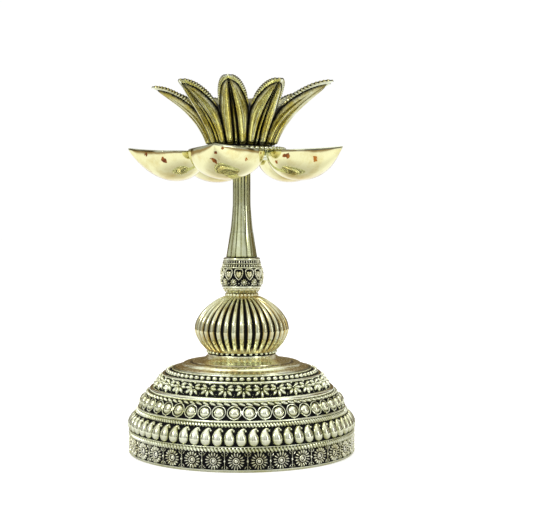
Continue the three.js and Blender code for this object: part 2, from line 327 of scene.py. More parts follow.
class Nodes:
    """Short names for the nodes of a new material, or of a new world."""

    def __init__(self, name, store=bpy.data.materials, shader="Principled BSDF"):
        self.owner = store.new(name)
        self.owner.use_nodes = True
        self.tree = self.owner.node_tree
        self.shader = self.tree.nodes[shader]

    def add(self, kind, values=(), **settings):
        node = self.tree.nodes.new(kind)
        for key, value in settings.items():
            setattr(node, key, value)
        for socket, value in dict(values).items():
            self.put(node.inputs[socket], value)
        return node

    def put(self, socket, value):
        if isinstance(value, bpy.types.NodeSocket):
            self.tree.links.new(value, socket)
        else:
            socket.default_value = value

    def attribute(self, name):
        return self.add("ShaderNodeAttribute", attribute_name=name).outputs["Fac"]

    def noise(self, scale, detail, rough=0.55, stretch=(1, 1, 1)):
        place = self.add("ShaderNodeTexCoord").outputs["Object"]
        spread = self.add("ShaderNodeMapping", {"Vector": place, "Scale": stretch})
        values = {"Vector": spread.outputs[0], "Scale": scale, "Detail": detail, "Roughness": rough}
        return self.add("ShaderNodeTexNoise", values).outputs[0]

    def span(self, value, low, high, start=0.0, end=1.0):
        values = {"Value": value, "From Min": low, "From Max": high, "To Min": start, "To Max": end}
        return self.add("ShaderNodeMapRange", values, clamp=True).outputs[0]

    def sum(self, first, second, operation="ADD"):
        return self.add("ShaderNodeMath", {0: first, 1: second}, operation=operation).outputs[0]

    def mix(self, share, first, second, blend_type="MIX"):
        values = {0: share, 6: first, 7: second}
        node = self.add("ShaderNodeMix", values, data_type="RGBA", blend_type=blend_type)
        return node.outputs[2]

    def ramp(self, value, stops):
        """A colour ramp through stops of a position and its red, green and blue."""
        node = self.add("ShaderNodeValToRGB", {"Fac": value})
        elements = node.color_ramp.elements
        while len(elements) < len(stops):
            elements.new(0.5)
        for element, (position, levels) in zip(elements, stops):
            element.position = position
            element.color = (*levels, 1)
        return node.outputs[0]

    def bump(self, height, distance, strength, under=None):
        values = {"Height": height, "Distance": distance, "Strength": strength}
        if under is not None:
            values["Normal"] = under
        return self.add("ShaderNodeBump", values).outputs[0]

    def finish(self, **sockets):
        """Sets or links the shader's sockets, and returns the material or world."""
        for name, value in sockets.items():
            self.put(self.shader.inputs[name.replace("_", " ")], value)
        return self.owner


def colour(red, green, blue):
    """A colour from its 0 to 255 screen values."""
    levels = [level / 255 for level in (red, green, blue)]
    return [v / 12.92 if v < 0.04 else ((v + 0.055) / 1.055) ** 2.4 for v in levels] + [1.0]


def worn_brass(name, pale, deep, dark, shine):
    """Cast brass: tops polished, hollows black with patina, deeper yellow where less rubbed. The same
    tone also paints a highlight on the petal borders, shade on their inner faces and reflection on
    the shelf.
    """
    pale, deep, dark = (colour(*levels) for levels in (pale, deep, dark))
    n = Nodes(name)
    fine = n.noise(1500, 4)
    blotch = n.noise(170, 5, 0.62)
    broad = n.noise(38, 2)
    tone = n.attribute("raised")
    tone = n.sum(tone, n.span(fine, 0.3, 0.7, -0.1, 0.1))
    tone = n.sum(tone, n.span(blotch, 0.35, 0.7, -0.05, 0.05))
    polish = n.span(tone, 0.16, 0.5)
    # Deeper colour where less rubbed; on the petal borders and the shelf this also paints highlight
    # and reflection.
    rub_and_painted_light = n.sum(n.span(blotch, 0.4, 0.64, 0.0, 0.5), n.span(tone, 0.95, 0.45, 0.0, 0.6))
    rub_and_painted_light = n.sum(rub_and_painted_light, n.span(broad, 0.42, 0.62, -0.2, 0.2))
    brass = n.mix(n.span(rub_and_painted_light, 0.1, 1.0), pale, deep)
    metal = n.mix(polish, dark, brass)
    grain = n.bump(fine, 0.00001, 0.3)
    waves = n.bump(n.noise(260, 2), 0.00008, 0.35, grain)
    rough = n.sum(n.span(polish, 0, 1, 0.55, shine), n.span(fine, 0.4, 0.8, 0.0, 0.06))
    return n.finish(
        Base_Color=metal,
        Metallic=n.span(polish, 0, 1, 0.2, 1.0),
        Roughness=rough,
        Specular_IOR_Level=0.12,
        Normal=waves,
    )


def mirror_brass():
    """Pale lemon brass with a mirror polish, soft ripples, a painted grey reflection on its rim, a
    painted golden reflection of the base low on its outside, and a few brown stains.
    """
    n = Nodes("mirror_brass")
    ripple = n.noise(75, 2, 0.4)
    blotch = n.noise(120, 4, 0.6)
    speck = n.noise(620, 2, 0.5)
    tone = n.attribute("raised")
    # Warmer gold under the blotches, and, where the tone falls low on a cup's outside, a painted
    # reflection of the base.
    warm = n.span(n.sum(blotch, n.span(tone, 0.0, 1.0, 0.32, 0.0)), 0.5, 0.86)
    brass = n.mix(warm, colour(235, 232, 181), colour(204, 184, 108))
    # Grey where the tone passes 1.1, on and just under the rim: a painted reflection.
    brass = n.mix(n.span(tone, 1.1, 2.0, 0.0, 0.8), brass, colour(160, 168, 158))
    stain = n.attribute("stained")
    stain = n.span(n.sum(stain, n.span(speck, 0.3, 0.7, -0.25, 0.25)), 0.46, 0.56)
    brown = n.mix(n.span(blotch, 0.45, 0.55), colour(112, 62, 40), colour(176, 112, 48))
    brass = n.mix(stain, brass, brown)
    bend = n.bump(ripple, 0.0007, 0.6)
    grain = n.bump(n.noise(2600, 3), 0.00001, 0.2, bend)
    rough = n.sum(n.span(blotch, 0.3, 0.7, 0.05, 0.12), n.span(stain, 0.0, 1.0, 0.0, 0.2))
    return n.finish(Base_Color=brass, Metallic=1.0, Roughness=rough, Normal=grain)


def cast_brass():
    """The unfinished inside of a casting: dull, brown and sandy."""
    n = Nodes("cast_brass")
    sand = n.noise(900, 6, 0.7)
    blotch = n.noise(60, 5, 0.65)
    brass = n.mix(n.span(blotch, 0.35, 0.7), colour(140, 122, 70), colour(84, 68, 40))
    rough = n.span(sand, 0.3, 0.7, 0.45, 0.68)
    return n.finish(
        Base_Color=brass,
        Metallic=n.span(blotch, 0.3, 0.7, 0.9, 0.6),
        Roughness=rough,
        Normal=n.bump(sand, 0.00012, 0.6),
    )


def plated_steel():
    """Zinc-plated steel with fine turning marks and dull spots."""
    n = Nodes("zinc_steel")
    marks = n.noise(700, 3, 0.5, (1, 1, 6))
    spots = n.noise(240, 5, 0.65)
    steel = n.mix(n.span(spots, 0.4, 0.65), colour(186, 188, 190), colour(128, 130, 130))
    rough = n.sum(n.span(marks, 0.3, 0.7, 0.24, 0.38), n.span(spots, 0.4, 0.7, 0.0, 0.15))
    bumps = n.bump(marks, 0.00003, 0.5)
    return n.finish(Base_Color=steel, Metallic=1.0, Roughness=rough, Normal=bumps)


# Each has its polished, less rubbed and hollow colours, and how rough the polish is.
ANTIQUE = worn_brass("antique_brass", (241, 245, 221), (196, 197, 148), (9, 10, 12), 0.17)
FINE = worn_brass("fine_brass", (250, 252, 234), (206, 202, 152), (9, 10, 12), 0.24)
RIBBED = worn_brass("ribbed_brass", (228, 230, 194), (188, 164, 94), (8, 8, 10), 0.16)
# Shelf brass paints reflections: its paler polish stands for the bright reflection across the neck,
# and its orange deep colour for warm reflections at the shelf's sides.
SHELF = worn_brass("shelf_brass_painted_reflection", (252, 255, 222), (206, 172, 100), (36, 26, 14), 0.24)
STEM_METAL = worn_brass("stem_brass", (244, 250, 212), (204, 206, 144), (20, 22, 12), 0.15)
# Olive brass: its near-white polish paints the pale highlights of the petal borders; its darker olive
# deep colour is partly the crown's own tone, partly painted shade.
OLIVE = worn_brass("olive_brass", (234, 240, 214), (172, 160, 80), (5, 5, 3), 0.18)
MIRROR = mirror_brass()
CAST = cast_brass()
STEEL = plated_steel()

# ---- Base ----

BASE_RADIUS, _, BASE_TOP = box_mm("base_dome")[1]
ROD_BORE = 3.3
BASE = Wall(
    [
        (BASE_RADIUS, 0.0), (BASE_RADIUS, 9.6), (53.8, 14.0), (52.9, 16.9), (50.2, 21.1),
        (47.8, 25.4), (45.4, 29.1), (42.6, 31.7), (40.8, 34.1), (38.6, 37.0),
        (34.6, 39.8), (29.3, 41.7), (25.5, 42.9), (22.4, 43.7), (20.0, 44.15),
        (18.4, 44.75), (17.3, 45.5), (16.6, 46.2), (16.3, BASE_TOP),
    ],
    900,
)
GROUND = -0.85  # how far the dark ground of a band lies inside the wall
DARK = (GROUND, GROUND, 0.0)
SET_OFF = 0.25  # how far the foot of an ornament stands off that ground
RIM_ROUNDING = 0.9
RIM_STEPS = 6
SHELF_FOOT = 40.5  # the shelf round the neck starts above this height
BASE_COLUMNS = 288

BASE_STEPS = [
    (0.95, 1.2, 0.0, 0.0, 1.0),
    (1.22, 8.85, *DARK),
    (8.9, 11.0, *DARK),
    (11.05, 11.5, -0.3, 0.05, 0.9),
    (11.55, 19.7, *DARK),
    (19.75, 21.4, *DARK),
    (21.5, 22.3, -0.3, 0.1, 0.95),
    (22.4, 28.3, *DARK),
    (28.35, 29.95, *DARK),
    (30.1, 31.5, -0.4, 0.35, 1.0),
    (31.6, 37.2, *DARK),
    (37.25, 38.0, -0.35, 0.15, 0.95),
    (38.05, 40.2, *DARK),
    (40.25, 40.5, -0.3, -0.1, 0.95),
    (40.55, 40.7, -0.55, -0.55, 0.2),
    (40.75, 41.85, -0.3, -0.15, 0.75),
    (41.9, 43.0, -0.3, 0.35, 0.95),
    (43.05, 43.35, -0.5, -0.5, 0.2),
    (43.4, 46.35, -0.1, -0.15, 0.95),
]


def base_outline():
    """The outside of the base from its foot to its seat, with how polished each point is."""
    rim = []
    for step in range(RIM_STEPS + 1):
        bend = math.pi / 2 * step / RIM_STEPS
        inset = RIM_ROUNDING * (1 - math.sin(bend))
        rim.append((BASE_RADIUS - inset, RIM_ROUNDING * (1 - math.cos(bend))))
    outline, tones = stepped_outline(BASE, BASE_STEPS, 9)
    seat = [(16.4, 46.5), (16.3, BASE_TOP), (15.4, BASE_TOP)]
    return rim + outline + seat, [0.45] * len(rim) + tones + [0.9, 0.9, 0.6]


BASE_INSIDE = [
    (ROD_BORE, BASE_TOP), (ROD_BORE, BASE_TOP - 3.0), (14.6, BASE_TOP - 3.0), (27.0, 40.7),
    (36.4, 35.8), (40.2, 30.2), (45.6, 24.4), (50.4, 16.6), (52.2, 8.0), (52.3, 0.0),
]


def make_base_shell():
    """The hollow base: antique outside, cast inside, and on its shelf a paler brass with an orange
    deep colour, which paints reflections.
    """
    outside, tones = base_outline()
    outline = outside + BASE_INSIDE[:2] + smooth_curve(BASE_INSIDE[2:], 40).tolist()
    shape = Shape()
    turned(shape, outline, BASE_COLUMNS, tones + [0.5] * (len(outline) - len(tones)))
    row = np.arange(len(shape.faces)) // BASE_COLUMNS
    shelf = next(k for k, (_, height) in enumerate(outside) if height > SHELF_FOOT)
    inside = (row > len(outside)) & (row < len(outline) - 1)
    on_shelf = (row >= shelf) & (row < len(outside))
    shape.finish = np.where(inside, 1, np.where(on_shelf, 2, 0)).tolist()
    shape.piece("base_shell", ["base_dome"], [ANTIQUE, CAST, SHELF])


def daisy():
    """A round flower of sixteen club-shaped petals about a small dome."""
    petal = leaf((1.7, 0), (3.95, 0), 0.44, 1.0, fullest=0.74, steps=8, across=6, blunt=0.7)
    parts = [turned_by(petal, (k + 0.5) * TURN / 16) for k in range(16)]
    parts.append(button(1.0, 0.8, 16, 5))
    parts.append(hoop(1.38, 0.2, 0.78, 24, 6))
    return parts


def daisy_divider():
    """The upright line of beads between two daisies: a bud in its middle, leaves at its ends."""
    parts = [button(0.27, 0.7, 7, 3, centre=(0, y)) for y in np.arange(-3.5, 3.6, 0.54)]
    parts.append(button(0.55, 0.95, 10, 4, stretch=1.3))
    for flip in (1, -1):
        for side in (1, -1):
            start, end = (0.3 * side, 2.1 * flip), (1.5 * side, 3.7 * flip)
            parts.append(leaf(start, end, 0.2, 0.65, bend=0.25 * side * flip))
            parts.append(button(0.22, 0.6, 6, 3, centre=(0.75 * side, 3.5 * flip)))
    return parts


def paisley():
    """A fat drop whose thin top curls over to the right and ends in a bead."""
    points = [(-0.1, -4.15), (-0.15, -2.8), (-0.25, -1.1), (-0.4, 0.7), (-0.3, 2.2), (0.1, 3.3)]
    spine = smooth_curve(points + [(0.85, 3.9), (1.55, 3.65)], 19)
    t = np.linspace(0, 1, 19)
    places = [0, 0.025, 0.08, 0.16, 0.27, 0.4, 0.55, 0.7, 0.8, 0.9, 1]
    widths = [0.25, 0.95, 1.7, 2.2, 2.42, 2.42, 2.2, 1.65, 1.15, 0.65, 0.4]
    widths = np.interp(t, places, widths)
    heights = np.interp(t, [0, 0.1, 0.3, 0.55, 0.8, 1], [0.3, 1.4, 1.85, 1.6, 1.1, 0.8])
    bead = button(0.62, 1.05, 10, 4, centre=(1.78, 3.0))
    return [ridge(spine, widths, heights, 13), bead]


def ringed_pearl():
    """A dome inside a wire ring, with a small nub under it."""
    nub = button(0.5, 0.8, 8, 3, centre=(0, -3.15))
    return [button(2.5, 2.0, 24, 9), hoop(3.05, 0.24, 1.1, 36, 8), nub]


def leaf_flower():
    """Seven leaves about a bead, with a bead over them."""
    centre = (0, 0.85)
    parts = [button(0.45, 0.9, 10, 4, centre=centre), button(0.6, 1.0, 9, 4, centre=(0, 3.35))]
    lengths = {27: 3.9, -8: 4.15, -47: 4.5, -90: 4.3, -133: 4.5, 188: 4.15, 153: 3.9}
    for direction, length in lengths.items():
        blade = leaf((0.7, 0), (length, 0), 0.8, 1.45, fullest=0.66, blunt=0.75)
        parts.append(turned_by(blade, math.radians(direction), centre))
    return parts


def rope(half_height, lean, half_width, height):
    """One strand of a twisted border, leaning from upper left to lower right."""
    upper = [(-lean, half_height), (-0.3 * lean, 0.3 * half_height)]
    spine = smooth_curve(upper + [(-x, -y) for x, y in upper[::-1]], 9)
    swell = np.sin(np.linspace(0.12, 0.88, 9) * math.pi)
    return ridge(spine, half_width * swell**0.4, height * swell**0.5, 6)


def band(name, ornament_sets, metal=ANTIQUE):
    """One band of the base: (ornaments, count, height, shift) sets on the dark ground."""
    shape = Shape()
    for seed, (ornaments, count, height, shift) in enumerate(ornament_sets):
        set_round(shape, BASE, ornaments, count, height, GROUND + SET_OFF, seed, shift)
    shape.piece(name, ["base_dome"], [metal])


def make_base_bands():
    band("base_daisy_band", [(daisy(), 33, 5.0, -0.25), (daisy_divider(), 33, 5.0, 0.25)], FINE)
    band("base_lower_rope", [([rope(1.0, 0.7, 0.72, 1.05)], 204, 9.95, 0.0)])
    band("base_paisley_band", [(paisley(), 62, 15.6, 0.0)])
    band("base_upper_rope", [([rope(0.85, 0.6, 0.64, 1.0)], 212, 20.55, 0.0)])
    band("base_pearl_band", [(ringed_pearl(), 44, 25.5, 0.5)])
    strand = leaf((-1.8, 0.75), (1.8, -0.75), 0.74, 1.35, bend=0.14, blunt=0.5)
    band("base_leaf_rope", [([strand], 85, 29.15, 0.0)])
    places = [(-0.4, 2.6), (0.35, 2.2), (0.1, -1.9), (-0.3, -2.7)]
    specks = [button(0.2, 0.45, 6, 3, centre=place) for place in places]
    band("base_flower_band", [(leaf_flower(), 31, 34.45, 0.1), (specks, 31, 34.45, 0.6)])
    band("base_bead_ring", [([button(1.3, 1.4, 12, 6, stretch=0.85)], 71, 39.15, 0.0)])


# ---- Bulb ----

RIBS = 36
RIB_SHARE = 0.315  # half of a rib's width, as a share of the space from rib to rib
GROOVE_DEPTH = 1.45
GROOVE_FADE_TONE = 0.47  # how much lower the bulb's tone is, making its brass a deeper yellow, where its grooves fade out
# Where a rib and half the groove at each side of it are sampled, from -0.5 to 0.5.
RIB_SAMPLES = [-0.5, -0.44, -0.39, -0.345, -0.33, -0.29, -0.22, -0.12, 0]
RIB_SAMPLES += [-place for place in RIB_SAMPLES[-2:0:-1]]
BULB_FOOT = levels_mm("bulb_lower_half")[0]
BULB_JOINT = levels_mm("bulb_upper_half")[0] - 0.15
BULB_RADIUS = box_mm("bulb_lower_half")[1][0] + 0.1


def fluted_half(name, outline, inside, share):
    """Half of the bulb. Each point up its outside has its share of the grooves' depth."""
    samples = np.array(RIB_SAMPLES)
    place = (np.arange(RIBS)[:, None] + samples).ravel()
    reach = np.abs(np.tile(samples, RIBS)) / RIB_SHARE
    hollow = 1 - np.sqrt(unit(1 - reach**2)) ** 0.75
    slope = np.gradient(outline, axis=0)
    slope /= np.linalg.norm(slope, axis=1)[:, None]
    share = share[:, None]
    drop = GROOVE_DEPTH * share * hollow
    radius = outline[:, :1] - slope[:, 1:] * drop
    height = outline[:, 1:] + slope[:, :1] * drop
    tones = 1 - GROOVE_FADE_TONE * (1 - share) - share * hollow
    shape = Shape()
    turned_inside(shape, place * TURN / RIBS, radius, height, tones, inside, 0.4)
    shape.piece(name, [f"{name}_half"], [RIBBED], crease=60)


def make_bulb():
    low_lip, high_lip = BULB_JOINT - 0.05, BULB_JOINT + 0.05
    points = [(16.5, BULB_FOOT), (18.35, 50.0), (20.2, 52.2), (21.7, 54.9), (22.4, 56.9)]
    lower = smooth_curve(points + [(BULB_RADIUS, low_lip)], 34)
    inside = [(20.5, low_lip), (17.4, 53.0), (15.2, 50.0), (ROD_BORE, 50.0), (ROD_BORE, BULB_FOOT)]
    share = unit((lower[:, 1] - BULB_FOOT - 0.5) / 2.2)
    fluted_half("bulb_lower", lower, inside, share)

    points = [(22.35, 60.7), (21.6, 62.9), (20.0, 65.5), (18.0, 67.9), (15.4, 70.2), (12.4, 72.3)]
    upper = smooth_curve([(BULB_RADIUS, high_lip)] + points + [(9.6, 73.7), (6.8, 74.5)], 56)
    inside = [(ROD_BORE, 74.5), (ROD_BORE, 72.9), (8.0, 72.3), (15.0, 67.4), (19.0, 62.0)]
    share = unit((upper[:, 0] - 7.8) / 2.6) ** 0.8
    fluted_half("bulb_upper", upper, inside + [(20.5, high_lip)], share)


def make_bulb_seat():
    middle = sum(levels_mm("bulb_seat_ring")) / 2
    low, high = middle - 0.4, middle + 0.4
    outline = [(15.6, low), (16.2, middle - 0.1), (16.2, middle + 0.2), (15.4, high)]
    seat = Shape()
    turned(seat, outline + [(ROD_BORE, high), (ROD_BORE, low)], 144, [0.1, 0.1, 0.05, 0, 0, 0])
    rim = Wall([(16.3, middle - 1), (16.2, high), (16.6, middle + 2.2)])
    set_round(seat, rim, [button(0.92, 1.25, 12, 5, stretch=0.85)], RIBS, high, -0.05, 3, 0.5)
    seat.piece("bulb_seat_beads", ["bulb_seat_ring"], [ANTIQUE])


# ---- Knop and stem ----

COLLAR_FOOT, COLLAR_TOP = levels_mm("collar_knop")
KNOP = Wall(
    [
        (7.9, COLLAR_FOOT - 1.2), (8.0, COLLAR_FOOT), (8.7, COLLAR_FOOT + 1.5),
        (9.5, COLLAR_FOOT + 3.1), (10.1, COLLAR_FOOT + 5.0), (10.15, COLLAR_FOOT + 9.0),
        (9.7, COLLAR_FOOT + 12.0), (9.3, COLLAR_FOOT + 14.0), (8.9, COLLAR_FOOT + 15.6),
        (8.5, COLLAR_TOP),
    ]
)
KNOP_GROUND = -0.55
KNOP_DARK = (KNOP_GROUND, KNOP_GROUND, 0.0)
KNOP_SET_OFF = 0.28
KNOP_TURN = -0.277  # where the first heart is, as a share of the space from heart to heart

KNOP_STEPS = [
    (75.85, 78.1, -0.35, -0.25, 0.75),
    (78.2, 79.1, -0.2, 0.1, 0.95),
    (79.2, 87.8, *KNOP_DARK),
    (87.9, 88.5, -0.3, 0.05, 0.9),
    (88.6, 89.75, *KNOP_DARK),
    (89.8, 90.2, -0.2, 0.05, 0.9),
    (90.25, 91.55, *KNOP_DARK),
    (91.6, 92.7, -0.25, 0.05, 1.0),
]


def heart():
    """A pointed shield with a beaded edge and a small heart inside."""
    half = [(0, -2.8), (0.7, -2.2), (1.5, -1.15), (1.95, 0.2), (1.95, 1.4), (1.4, 2.2), (0, 2.35)]
    edge = ridge(smooth_curve(half, 14), 0.3, 0.75, 7)
    parts = [edge, mirrored(edge)]
    for x, y in smooth_curve(half, 9):
        parts.append(button(0.4, 1.0, 8, 3, centre=(x, y)))
        parts.append(button(0.4, 1.0, 8, 3, centre=(-x, y)))
    for side in (1, -1):
        end, bend = (0.6 * side, 1.35), 0.22 * side
        corners, faces, tones = leaf((0, -1.9), end, 0.78, 0.9, bend, fullest=0.7)
        parts.append((corners, faces, tones * 0.5))
    return parts


def small_flower():
    """Nine short rays round a low bead."""
    ray = leaf((0.6, 0), (1.95, 0), 0.33, 0.85, fullest=0.45, steps=7, across=5)
    return [turned_by(ray, (k + 0.5) * TURN / 9) for k in range(9)] + [button(0.72, 0.85, 10, 4)]


def make_knop():
    outline, tones = stepped_outline(KNOP, KNOP_STEPS, 7)
    body = Shape()
    bore = [(ROD_BORE, COLLAR_TOP), (ROD_BORE, COLLAR_FOOT)]
    turned(body, outline + bore, 144, tones + [0.3, 0.3])
    body.piece("knop_body", ["collar_knop"], [ANTIQUE])

    # Rows of ornament down the knop: how many, their height, the ground, and the seed.
    ground = KNOP_GROUND + KNOP_SET_OFF
    bar = ridge([(0, -0.62), (0, -0.3), (0, 0.3), (0, 0.62)], 0.33, 0.5, 5)
    drop = leaf((0, 0.55), (0, -0.6), 0.42, 0.6, fullest=0.6)
    bead = button(0.3, 0.6, 8, 4)
    work = Shape()
    set_round(work, KNOP, [bar], 45, 90.9, ground, 1)
    set_round(work, KNOP, [drop], 45, 89.2, ground, 2)
    set_round(work, KNOP, [button(0.5, 0.5, 8, 4)], 44, 88.2, ground, 3)
    set_round(work, KNOP, heart(), 12, 85.2, ground, 4, KNOP_TURN, jitter=0.005)
    set_round(work, KNOP, small_flower(), 12, 81.2, ground, 5, KNOP_TURN + 0.5, jitter=0.005)
    set_round(work, KNOP, [button(0.36, 0.6, 8, 4)], 12, 80.6, ground, 6, KNOP_TURN)
    set_round(work, KNOP, [bead], 12, 79.8, ground, 7, KNOP_TURN + 0.2)
    set_round(work, KNOP, [bead], 12, 79.8, ground, 7, KNOP_TURN - 0.2)
    work.piece("knop_ornament", ["collar_knop"], [FINE])

    cup_leaf = leaf((0, -1.2), (0, 1.3), 1.35, 0.6, fullest=0.75)
    ring = [(6.6, 75.9), (7.2, 75.75), (7.5, 74.9), (7.3, 74.0), (6.4, 73.8)]
    ring_wall = Wall([(7.4, 73.4), (7.5, 74.8), (7.4, 76.0)])
    foot = Shape()
    set_round(foot, KNOP, [cup_leaf], 20, 76.95, ground + 0.1, 8)
    turned(foot, ring, 96, [0.1, 0.3, 0.4, 0.3, 0.1])
    set_round(foot, ring_wall, [button(0.95, 1.0, 12, 5, stretch=1.15)], 26, 74.85, -0.1, 9)
    foot.piece("knop_foot_ornament", ["collar_knop"], [RIBBED])


STEM_FACETS = 16
STEM_TURN = math.radians(-24.5)
# Where a facet is sampled, from the edge on its left to just short of the one on its right.
FACET_SAMPLES = [0, 0.05, 0.09, 0.14, 0.3, 0.5, 0.7, 0.86, 0.91, 0.95]
STEM_FOOT = levels_mm("stem_lower")[0]
STEM_JOINT = levels_mm("stem_upper")[0] - 0.15
STEM_HEAD = levels_mm("stem_upper")[1]


def faceted_sleeve(name, node, outline, rows):
    """A sleeve with sixteen flat facets. Every second edge is a dark line, and higher up all are."""
    outline = smooth_curve(outline, rows)
    samples = np.array(FACET_SAMPLES)
    facet = np.arange(STEM_FACETS)
    angle = STEM_TURN + (facet[:, None] + samples).ravel() * TURN / STEM_FACETS
    share = np.tile(samples, STEM_FACETS)
    left_is_dark = np.repeat(facet % 2 == 0, len(samples))
    nearest_is_dark = np.where(share < 0.5, left_is_dark, ~left_is_dark)
    gap = np.minimum(share, 1 - share)
    flat = math.cos(math.pi / STEM_FACETS) / np.cos((share - 0.5) * TURN / STEM_FACETS)
    height = outline[:, 1:]
    upper = unit((height - STEM_FOOT) / (STEM_HEAD - STEM_FOOT))
    line = unit(1 - gap / (0.13 + 0.16 * upper))
    line = line * np.where(nearest_is_dark, 1.0, 0.3 + 0.35 * upper)
    radius = outline[:, :1] * flat - line * (0.25 + 0.15 * upper)
    tones = (1 - np.sqrt(line) * (0.85 + 0.15 * upper)) * (1 - 0.4 * upper)
    tones = tones * np.clip((height - STEM_FOOT) / 0.7, 0.1, 1)
    height = np.repeat(height, len(angle), 1)
    bore = [(ROD_BORE, outline[-1, 1]), (ROD_BORE, outline[0, 1])]
    shape = Shape()
    turned_inside(shape, angle, radius, height, tones, bore, 0.2)
    shape.piece(name, [node], [STEM_METAL], crease=25)


def make_stem():
    foot = [(7.55, STEM_FOOT - 0.2), (7.35, STEM_FOOT + 0.6), (6.65, STEM_FOOT + 5.0)]
    foot += [(5.75, STEM_JOINT - 1.2), (5.55, STEM_JOINT - 0.06)]
    faceted_sleeve("stem_foot_sleeve", "stem_lower", foot, 24)
    upper = [(5.5, STEM_JOINT + 0.06), (5.2, 107.2), (4.8, 111.3), (4.45, 116.0)]
    upper += [(4.3, 120.0), (4.3, STEM_HEAD)]
    faceted_sleeve("stem_upper_sleeve", "stem_upper", upper, 48)


THREAD_PITCH = 1.0
THREAD_DEPTH = 0.55
ROWS_A_TURN = 5  # of the thread


def make_rod():
    """The tie rod, with an M6 thread all the way up."""
    low, high = box_mm("tie_rod")
    columns = 24
    rows = int((high[2] - low[2]) / THREAD_PITCH * ROWS_A_TURN)
    angle = np.arange(columns) * TURN / columns
    height = np.linspace(low[2], high[2], rows)[:, None]
    wave = np.abs(((height / THREAD_PITCH - angle / TURN) % 1) * 2 - 1)
    corners = around(high[0] - THREAD_DEPTH * (1 - wave), angle, height).reshape(-1, 3)
    ends = [(0, 0, low[2]), (0, 0, high[2])]
    shape = Shape()
    shape.add(np.vstack([corners, ends]), tube_faces(rows, columns))
    shape.piece("tie_rod_thread", ["tie_rod"], [STEEL], slot="zinc_plated_steel", crease=25)


# ---- Tray of cups ----

CUP_COUNT = 5
FIRST_CUP = math.radians(-13)
CUP_CENTRE = 31.0  # from the lamp's axis
CUP_TIP_REACH = 22.9
CUP_BACK_REACH = 14.6
CUP_HALF_WIDTH = 17.6
CUP_RIM = 142.5  # its height
CUP_DEPTH = 13.4
CUP_WALL = 1.3
CUP_EDGE = 0.35  # rounding of the rim
CUP_EDGE_RISE = 0.28
CUP_POINTS = 192
CUP_LEVELS = 39
LIP_RISE = 1.8  # how much higher than the rim the lip is
# The grey of the rim is a painted reflection.
GREY_RIM_REFLECTION = 0.06  # how far down the outside the grey of the rim reaches, as a share of the depth

# Brown stains on each cup: across, out and up in the cup's own frame, and their radius.
CUP_STAINS = {
    "front": [
        (-1.2, -47.8, 137.3, 1.7), (0.0, -51.4, 140.5, 0.9),
        (2.8, -50.4, 142.4, 0.8), (11.1, -41.1, 137.9, 0.9),
    ],
    "right": [(-16.7, -34.0, 139.8, 1.5), (-8.5, -44.0, 138.8, 1.2), (-15.8, -28.0, 137.3, 0.9)],
    "back_right": [(9.0, -44.0, 137.5, 1.5), (-6.0, -47.0, 138.0, 1.0)],
    "back_left": [(-10.0, -42.0, 137.5, 1.5), (2.0, -50.0, 138.5, 0.9)],
    "left": [(14.6, -37.4, 138.5, 1.5), (8.4, -45.4, 141.4, 1.2), (4.0, -42.8, 134.2, 0.9)],
}


def cup_ring(depth, full_depth, wall):
    """One level of a leaf-shaped bowl: pointed at the lip, rounded at the back."""
    turn = TURN * np.arange(CUP_POINTS) / CUP_POINTS
    ahead = np.cos(turn)
    towards_lip = np.maximum(0, ahead)
    blend = unit(0.5 + 1.2 * ahead)
    blend = blend**2 * (3 - 2 * blend)
    fullness = 2 - 0.85 * towards_lip**2
    scale = np.sqrt(unit(1 - (depth / full_depth) ** fullness))
    reach = CUP_BACK_REACH + (CUP_TIP_REACH - CUP_BACK_REACH) * blend - wall
    pointed = np.sign(np.sin(turn)) * np.cos(math.pi / 2 * ahead).clip(0) ** 1.15
    keel = np.where(ahead > 0, scale**3, 0)
    breadth = pointed * keel + np.sin(turn) * (1 - keel)
    along = reach * ahead * scale
    across = (CUP_HALF_WIDTH - wall) * breadth * scale
    rise = LIP_RISE * towards_lip**2 * scale**2
    return np.stack([across, -(CUP_CENTRE + along), CUP_RIM + rise - depth], -1)


def make_cup(name, azimuth):
    """A bowl made of levels: up the outside, over the rim and down the inside."""
    levels = np.sin(np.linspace(0, 1, CUP_LEVELS + 1)[:-1] * math.pi / 2)
    rings, tones = [], []
    for level in levels[::-1]:
        rings.append(cup_ring(level * CUP_DEPTH, CUP_DEPTH, 0))
        # Near the rim the outside takes the painted grey reflection; lower down its tone falls,
        # painting the golden reflection of the base.
        tones.append(1.7 if level < GREY_RIM_REFLECTION else min(1, (1 - level) * 3.0))
    # Over the rim, a tone of 2 paints the grey reflection at its fullest.
    for wall in (CUP_EDGE, CUP_WALL - CUP_EDGE):
        rings.append(cup_ring(0, CUP_DEPTH, wall) + (0, 0, CUP_EDGE_RISE))
        tones.append(2.0)
    inner_depth = CUP_DEPTH - CUP_WALL
    for level in levels:
        rings.append(cup_ring(level * inner_depth, inner_depth, CUP_WALL))
        tones.append(0.8)
    poles = [(0, -CUP_CENTRE, CUP_RIM - CUP_DEPTH), (0, -CUP_CENTRE, CUP_RIM - inner_depth)]
    corners = np.vstack(rings + [poles])
    stains = np.zeros(len(corners))
    for *place, radius in CUP_STAINS[name]:
        gap = np.linalg.norm(corners - place, axis=1)
        stains = np.maximum(stains, 1 - 0.5 * gap / radius)
    first = np.arange(CUP_POINTS)
    count = len(rings) * CUP_POINTS
    faces = [
        grid_faces(len(rings), CUP_POINTS)[:, ::-1],
        fan_faces(first, count),
        fan_faces(count - CUP_POINTS + first, count + 1, flip=True),
    ]
    tones = np.concatenate([np.repeat(tones, CUP_POINTS), [0, 0.8]])
    shape = Shape()
    shape.add(*turned_by((corners, faces, tones), azimuth))
    node = f"cup_{name}"
    bowl = shape.piece(f"bowl_{name}", [node], [MIRROR], "cup_tray", "polished_brass", crease=50)
    bowl.data.attributes.new("stained", "FLOAT", "POINT")
    bowl.data.attributes["stained"].data.foreach_set("value", stains)


DISC_LOW = 142.9  # height of the disc's underside
DISC_RADIUS = 20.2


